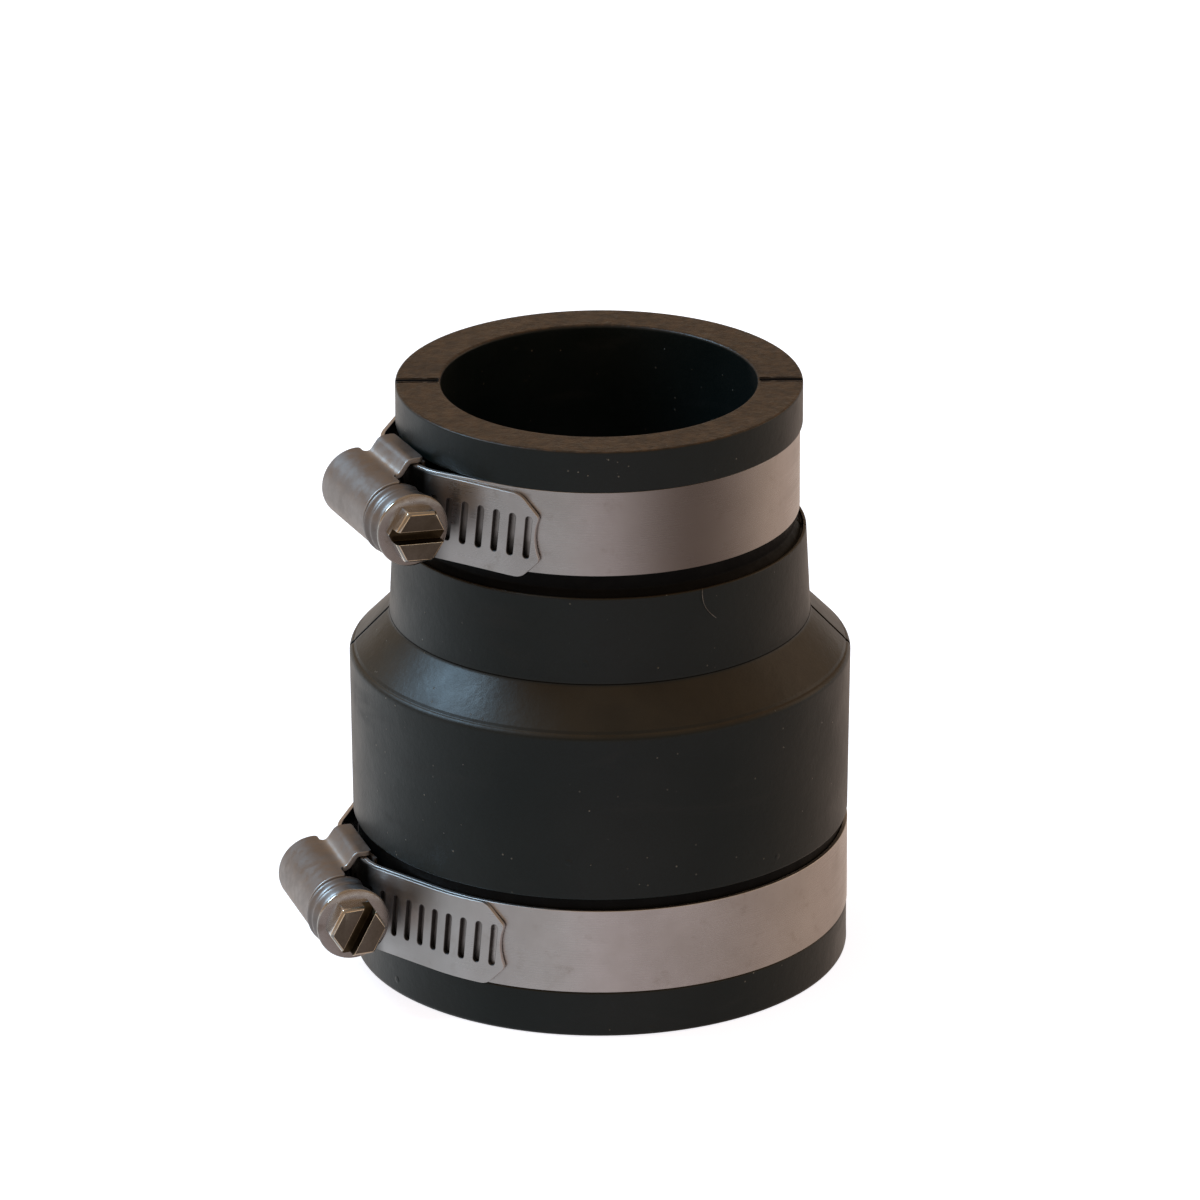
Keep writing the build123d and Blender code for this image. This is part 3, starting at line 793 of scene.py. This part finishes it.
    e = ear_len / 2
    ring_pts = [((-e, -half), 0.5), ((e, -half), 0.5), ((e, -ear_at), 0.45), ((barrel_front, -ear_at), 0.35),
                ((barrel_front, ear_at), 0.35), ((e, ear_at), 0.45), ((e, half), 0.5), ((-e, half), 0.5),
                ((-e, ear_at), 0.45), ((barrel_rear, ear_at), 0.5), ((barrel_rear, -ear_at), 0.5),
                ((-e, -ear_at), 0.45)]
    loop = rounded(ring_pts, seg=4, support=0.2, step=0.35)
    columns = [barrel_rear + 0.4 + 0.5 * k for k in range(28)]
    rows = [-half + 0.35 + (whole - 0.7) * k / 70 for k in range(71)]
    shell = sheet(side + "_housing_press", [loop], on_housing, sheet_t, 0.18, columns, rows, levels=4, keep=0.24)
    # painted highlight: the bends between barrel and ears are lightened where they reflect the light
    valley = barrel_mid * pi / 2 + straight + root_bend * radians(ear_slope) / 2
    me = shell.data
    flow = np.zeros(len(me.vertices) * 3)
    me.attributes["flow"].data.foreach_get("vector", flow)
    flow = flow.reshape(-1, 3)
    rim = np.zeros(len(me.vertices))
    me.attributes["rim"].data.foreach_get("value", rim)
    rim = np.maximum(rim, 1.7 * np.exp(-((np.abs(flow[:, 1]) - valley) / 0.75) ** 2) * (flow[:, 2] > 0))
    me.attributes["rim"].data.foreach_set("value", rim)

    # the neck: ribs pressed round it, strong on the outer side and weaker towards the band
    def outer_radius(u, t):
        """Outer radius of the neck at u; t is the angle from the outward side, in degrees."""
        strong = max(0.0, cos(radians(t) * 0.9)) ** 0.7 if abs(t) < 100 else 0.0
        def hump(c0, w):
            d = (u - c0) / w
            return math.exp(-d * d)
        r = 4.62 - 0.10 * max(0, min(1, (u - 8.6) / 2.5))
        r += (0.20 + 0.42 * strong) * hump(8.45, 0.52)
        r += (0.14 + 0.40 * strong) * hump(10.35, 0.55)
        fade = max(0.0, min(1.0, (u - 11.0) / 0.5))
        r = r * (1 - fade) + 4.42 * fade
        return r
    outer_u = [7.25, 7.4, 7.55] + [7.7 + 0.13 * k for k in range(35)]
    outer_u = [u for u in outer_u if u < 12.2] + [12.2]
    around = 96
    verts, faces = [], []
    prof_tail = [(12.33, 4.36), (12.4, 4.2), (12.4, 3.95), (12.4, 3.55), (12.34, 3.38), (12.2, 3.32),
                 (11.2, 3.3), (10.3, 3.3), (9.7, 3.6), (9.2, 4.0), (8.4, 4.12), (7.25, 4.15)]
    rows_n = len(outer_u) + len(prof_tail)
    second = run.cross(out)
    for i in range(rows_n):
        for k in range(around):
            t = 2 * pi * k / around
            deg = math.degrees(t)
            deg = deg - 360 if deg > 180 else deg
            if i < len(outer_u):
                u = outer_u[i]
                r = outer_radius(u, deg)
            else:
                u, r = prof_tail[i - len(outer_u)]
            verts.append(seat + run * u + (out * cos(t) + second * sin(t)) * r)
    for i in range(rows_n):
        j = (i + 1) % rows_n
        for k in range(around):
            q = (k + 1) % around
            faces.append((i * around + k, i * around + q, j * around + q, j * around + k)[::-1])
    neck = new_object(side + "_neck", verts, faces, values={"flow": [(0, 0, 0)] * len(verts), "rim": [0.0] * len(verts)})
    # open the neck's underside where the band passes
    low = -2.4
    cutter_box = []
    for du in (5.0, 9.9):
        for dx in (low, low - 9.0):
            for dz in (-9.0, 9.0):
                cutter_box.append(seat + run * du + out * dx + up * dz)
    cutter = new_object(side + "_cutter", cutter_box,
                        [(0, 1, 3, 2), (4, 6, 7, 5), (0, 4, 5, 1), (2, 3, 7, 6), (0, 2, 6, 4), (1, 5, 7, 3)], smooth=False)
    bm = bmesh.new()
    bm.from_mesh(cutter.data)
    bmesh.ops.recalc_face_normals(bm, faces=bm.faces)
    bm.to_mesh(cutter.data)
    bm.free()
    combine(neck, cutter, "DIFFERENCE")
    neck.data.set_sharp_from_angle(angle=radians(40))
    # one object of the two
    both = join([shell, neck], side + "_housing_shell")
    finish_piece(both, housing_steel, side + "_clamp", side + "_housing")

    # the saddle is right as it is
    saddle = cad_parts[side + "_saddle"]
    saddle.data.materials.clear()
    saddle.data.materials.append(housing_steel)

    make_screw(side, c, seat, run, out, up)


def join(obs, name):
    """Join objects, keeping their normals and attributes."""
    bpy.ops.object.select_all(action="DESELECT")
    for o in obs:
        o.select_set(True)
    bpy.context.view_layer.objects.active = obs[0]
    bpy.ops.object.join()
    obs[0].name = name
    obs[0].data.name = name
    return obs[0]


def make_screw(side, c, seat, run, out, up):
    second = run.cross(out)
    root, crest, pitch = 2.25, 3.02, 2.4
    u_start, u_end = barrel_rear + 0.6, 8.9

    def threaded(u, r, t):
        if not (u_start < u < u_end):
            return r
        f = (u / pitch + t / (2 * pi)) % 1.0
        d = abs(f - 0.5) * pitch                     # distance from the crest's middle
        rise = 1.0 - min(1.0, max(0.0, (d - 0.33) / 0.48))
        rise = rise * rise * (3 - 2 * rise)
        ends = min(1.0, max(0.0, (u - u_start) / 1.3)) * min(1.0, max(0.0, (u_end - u) / 1.0))
        return min(r, root + (crest - root) * rise * ends) if r > root else r

    rings = [(u_start - 0.1, 1.2), (u_start, 1.9)]
    k = 0
    while u_start + 0.15 + 0.14 * k < u_end:
        rings.append((u_start + 0.15 + 0.14 * k, 3.3))
        k += 1
    rings += [(9.0, 2.5), (9.3, 2.9), (9.6, 3.15), (9.9, shank_r), (12.35, shank_r), (flange_back, shank_r + 0.02),
              (flange_back, 3.6), (flange_back, 4.7), (flange_back + 0.05, 4.9), (flange_back + 0.16, 5.05),
              (flange_back + 0.3, flange_r), (flange_front - 0.42, flange_r), (flange_front - 0.33, 5.06),
              (flange_front - 0.27, 4.97), (flange_front - 0.23, 4.84), (flange_front - 0.12, 4.40),
              (flange_front - 0.03, 3.95), (flange_front, 3.4)]
    body = lathe(rings, 72, seat, run, out, side + "_worm_screw", threaded)

    # hexagon head: rounded corners, turned chamfer, driver slot
    corner = hex_af / 2 / cos(radians(30))
    hexagon = rounded([((corner * cos(radians(60 * k)), corner * sin(radians(60 * k))), 0.22) for k in range(6)],
                      seg=3, support=0.15, step=None)
    turn = radians(-c["driver"])
    def spin(x, y):
        # x along the driver slot, seen from the head with z up
        return x * cos(turn) - y * sin(turn), x * sin(turn) + y * cos(turn)
    # towards the head's viewer: right-hand side is -out, up is z
    across = -out
    verts, faces = [], []
    heights = [flange_front - 0.25, head_front - 0.75, head_front - 0.35, head_front - 0.08, head_front]
    def chamfered(x, y, u):
        r = sqrt(x * x + y * y)
        limit = (99, 4.06, 3.96, 3.72, 3.58)[u]
        f = min(1.0, limit / r)
        return x * f, y * f
    m = len(hexagon)
    for i, u in enumerate(heights):
        for p in hexagon:
            x, y = chamfered(p.x, p.y, i)
            x, y = spin(x, y)
            verts.append(seat + run * u + across * x + up * y)
    for i in range(len(heights) - 1):
        for k in range(m):
            q = (k + 1) % m
            faces.append((i * m + k, i * m + q, (i + 1) * m + q, (i + 1) * m + k))
    faces.append(tuple(range(m))[::-1])
    faces.append(tuple((len(heights) - 1) * m + k for k in range(m)))
    head = new_object(side + "_head", verts, faces, smooth=False)
    w = driver_slot_w / 2
    box = []
    for u in (head_front - driver_slot_d, head_front + 1.0):
        for x, y in ((-6, -w), (6, -w), (6, w), (-6, w)):
            a, b = spin(x, y)
            box.append(seat + run * u + across * a + up * b)
    slot = new_object(side + "_slot", box, [(0, 1, 2, 3), (7, 6, 5, 4), (0, 4, 5, 1), (1, 5, 6, 2), (2, 6, 7, 3), (3, 7, 4, 0)], smooth=False)
    for o in (body, head, slot):
        o.data.materials.append(screw_steel)
        o.data.materials.append(shaded_slot_steel)
        o.data.materials.append(glint_edge_steel)
        o.data.materials.append(shaded_face_steel)
        o.data.materials.append(shaded_flange_steel)
        o.data.materials.append(lit_facet_steel)
    # painted shade in the driver slot
    for p in slot.data.polygons:
        p.material_index = 1
    for o in (head, slot):
        bm = bmesh.new()
        bm.from_mesh(o.data)
        bmesh.ops.recalc_face_normals(bm, faces=bm.faces)
        bm.to_mesh(o.data)
        bm.free()
    combine(head, slot, "DIFFERENCE")
    bevel = head.modifiers.new("bevel", "BEVEL")
    bevel.width, bevel.segments, bevel.limit_method, bevel.angle_limit = 0.19 * MM, 2, "ANGLE", radians(32)
    # painted glint: the bevels take the golden edge steel
    bevel.material = 2
    evaluated(head)
    # painted light: the front face takes the shaded copy, the side facets the lit copy, and the slot floor's edges the
    # painted slot shade instead of the golden glint
    for p in head.data.polygons:
        p.use_smooth = True
        depth = head_front - (p.center / MM - seat).dot(run)
        if p.material_index == 0 and p.normal.dot(run) > 0.93:
            p.material_index = 3
        elif p.material_index == 0 and abs(p.normal.dot(run)) < 0.5:
            p.material_index = 5
        elif p.material_index == 2 and abs(depth - driver_slot_d) < 0.3:
            p.material_index = 1                         # the slot's floor has no bright edges
    # painted shade: the flange's front takes a darker copy of the steel
    for p in body.data.polygons:
        if p.normal.dot(run) > 0.80 and abs((p.center / MM - seat).dot(run) - flange_front) < 0.3:
            p.material_index = 4
    combine(body, head, "UNION")
    bm = bmesh.new()
    bm.from_mesh(body.data)
    bmesh.ops.remove_doubles(bm, verts=bm.verts, dist=0.003 * MM)
    bmesh.ops.dissolve_degenerate(bm, edges=bm.edges, dist=0.002 * MM)
    bm.to_mesh(body.data)
    bm.free()
    for p in body.data.polygons:
        p.use_smooth = True
    body.data.set_sharp_from_angle(angle=radians(28))
    finish_piece(body, None, side + "_worm", side + "_screw")


for side, c in clamps.items():
    make_clamp(side, c)


def lint():
    """A fibre caught on the collar's edge, lying on the rubber."""
    pts = []
    for k in range(13):
        f = k / 12
        a = radians(29.1 + 4.6 * (1 - cos(f * 1.42)) - 0.35 * sin(f * 5.5))
        z = 61.75 - 4.8 * sin(f * 1.30)
        r = 28.3 + (61.6 - z) * 0.0492 + 0.045 + (0.10 * sin(f * 6.0) ** 2 if 0 < k < 12 else 0.0)
        pts.append(Vector((r * sin(a), -r * cos(a), z)))
    verts, faces = [], []
    for i, p in enumerate(pts):
        d = (pts[min(i + 1, 12)] - pts[max(i - 1, 0)]).normalized()
        n = Vector((p.x, p.y, 0)).normalized()
        b = d.cross(n).normalized()
        n = b.cross(d)
        thick = 0.05 if 0 < i < 12 else 0.02
        for k in range(6):
            t = 2 * pi * k / 6
            verts.append(p + (n * cos(t) + b * sin(t)) * thick)
    for i in range(12):
        for k in range(6):
            q = (k + 1) % 6
            faces.append((i * 6 + k, i * 6 + q, (i + 1) * 6 + q, (i + 1) * 6 + k))
    faces.append(tuple(range(6))[::-1])
    faces.append(tuple(72 + k for k in range(6)))
    ob = new_object("lint_fibre", verts, faces)
    m = Nodes("lint")
    m.put(m.shader.inputs["Base Color"], m.mix(m.ramp(m.noise(m.coords(), 2500, 2), 0.35, 0.65), (0.05, 0.042, 0.034), (0.12, 0.10, 0.082)))
    m.shader.inputs["Roughness"].default_value = 0.7
    ob.data.materials.append(m.mat)
    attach(ob, "sleeve_body")


lint()

# ---------------------------------------------------------------------- stage
floor_mesh = bpy.data.meshes.new("floor")
bm = bmesh.new()
bmesh.ops.create_circle(bm, cap_ends=True, segments=96, radius=7.0)
bm.to_mesh(floor_mesh)
bm.free()
floor = bpy.data.objects.new("floor", floor_mesh)
scene.collection.objects.link(floor)
floor.location.z = -0.00005
m = Nodes("floor_paper")
at = m.coords()
m.put(m.shader.inputs["Base Color"], m.mix(m.ramp(m.noise(at, 900, 3), 0.3, 0.7), (0.78, 0.78, 0.78), (0.80, 0.80, 0.80)))
m.shader.inputs["Roughness"].default_value = 0.95
m.shader.inputs["Specular IOR Level"].default_value = 0.0
m.shader.inputs["Emission Color"].default_value = (1.0, 1.01, 1.07, 1.0)
m.shader.inputs["Emission Strength"].default_value = 0.82
floor.data.materials.append(m.mat)
floor.visible_glossy = False

# Room light: a grey bench below, cool at the left and brown at the right, a dim brown
# ceiling, and a white band round the horizon.
world = bpy.data.worlds.new("studio")
scene.world = world
world.use_nodes = True


class World(Nodes):
    def __init__(self):
        self.tree = world.node_tree


w = World()
sky = world.node_tree.nodes["Background"]
x, y, z = w.separate(world.node_tree.nodes.new("ShaderNodeTexCoord").outputs["Generated"])
bench = world.node_tree.nodes.new("ShaderNodeValToRGB")
round_about = w.maths("ARCTAN2", x, w.maths("MULTIPLY", y, -1.0))
w.link(w.maths("ADD", w.maths("DIVIDE", round_about, 2 * pi), 0.5), bench.inputs[0])
stops = [(-180, (0.84, 0.70, 0.61)), (-122, (0.95, 0.98, 1.01)), (-90, (0.64, 0.68, 0.72)), (-66, (0.50, 0.52, 0.54)),
         (-50, (0.38, 0.375, 0.385)), (-20, (0.46, 0.45, 0.455)), (0, (0.49, 0.435, 0.44)), (37, (0.41, 0.35, 0.335)),
         (60, (0.34, 0.28, 0.255)), (80, (0.37, 0.29, 0.25)), (110, (0.48, 0.37, 0.30)), (136, (0.58, 0.445, 0.37)),
         (180, (0.84, 0.70, 0.61))]
for i, (turn_at, col) in enumerate(stops):
    e = bench.color_ramp.elements[i] if i < 2 else bench.color_ramp.elements.new(1.0)
    e.position, e.color = (turn_at + 180) / 360, (*col, 1.0)
low = bench.outputs[0]
high = w.mix(w.ramp(z, 0.25, 0.95), (0.45, 0.317, 0.208), (0.35, 0.262, 0.190))
both = w.mix(w.ramp(z, -0.03, 0.03), low, high)
both = w.mix(w.ramp(w.maths("ABSOLUTE", z), 0.055, 0.025), both, (1.03, 1.03, 1.03))
w.link(both, sky.inputs["Color"])
sky.inputs["Strength"].default_value = 1.0


def area(name, place, size, power, colour, aim=(0, 0, 0.045), shape="DISK"):
    data = bpy.data.lights.new(name, "AREA")
    data.shape, data.size, data.energy, data.color = shape, size, power, colour
    ob = bpy.data.objects.new(name, data)
    scene.collection.objects.link(ob)
    ob.location = place
    ob.rotation_euler = (Vector(aim) - Vector(place)).to_track_quat("-Z", "Y").to_euler()
    ob.visible_camera = False
    return ob


area("window_left", (-0.97, 0.16, 1.05), 0.50, 13.2, (0.46, 0.74, 1.0))
area("soft_right", (1.25, 0.45, 0.55), 0.7, 1.2, (1.0, 0.74, 0.55))

scene.view_settings.view_transform = "Standard"
scene.view_settings.look = "None"
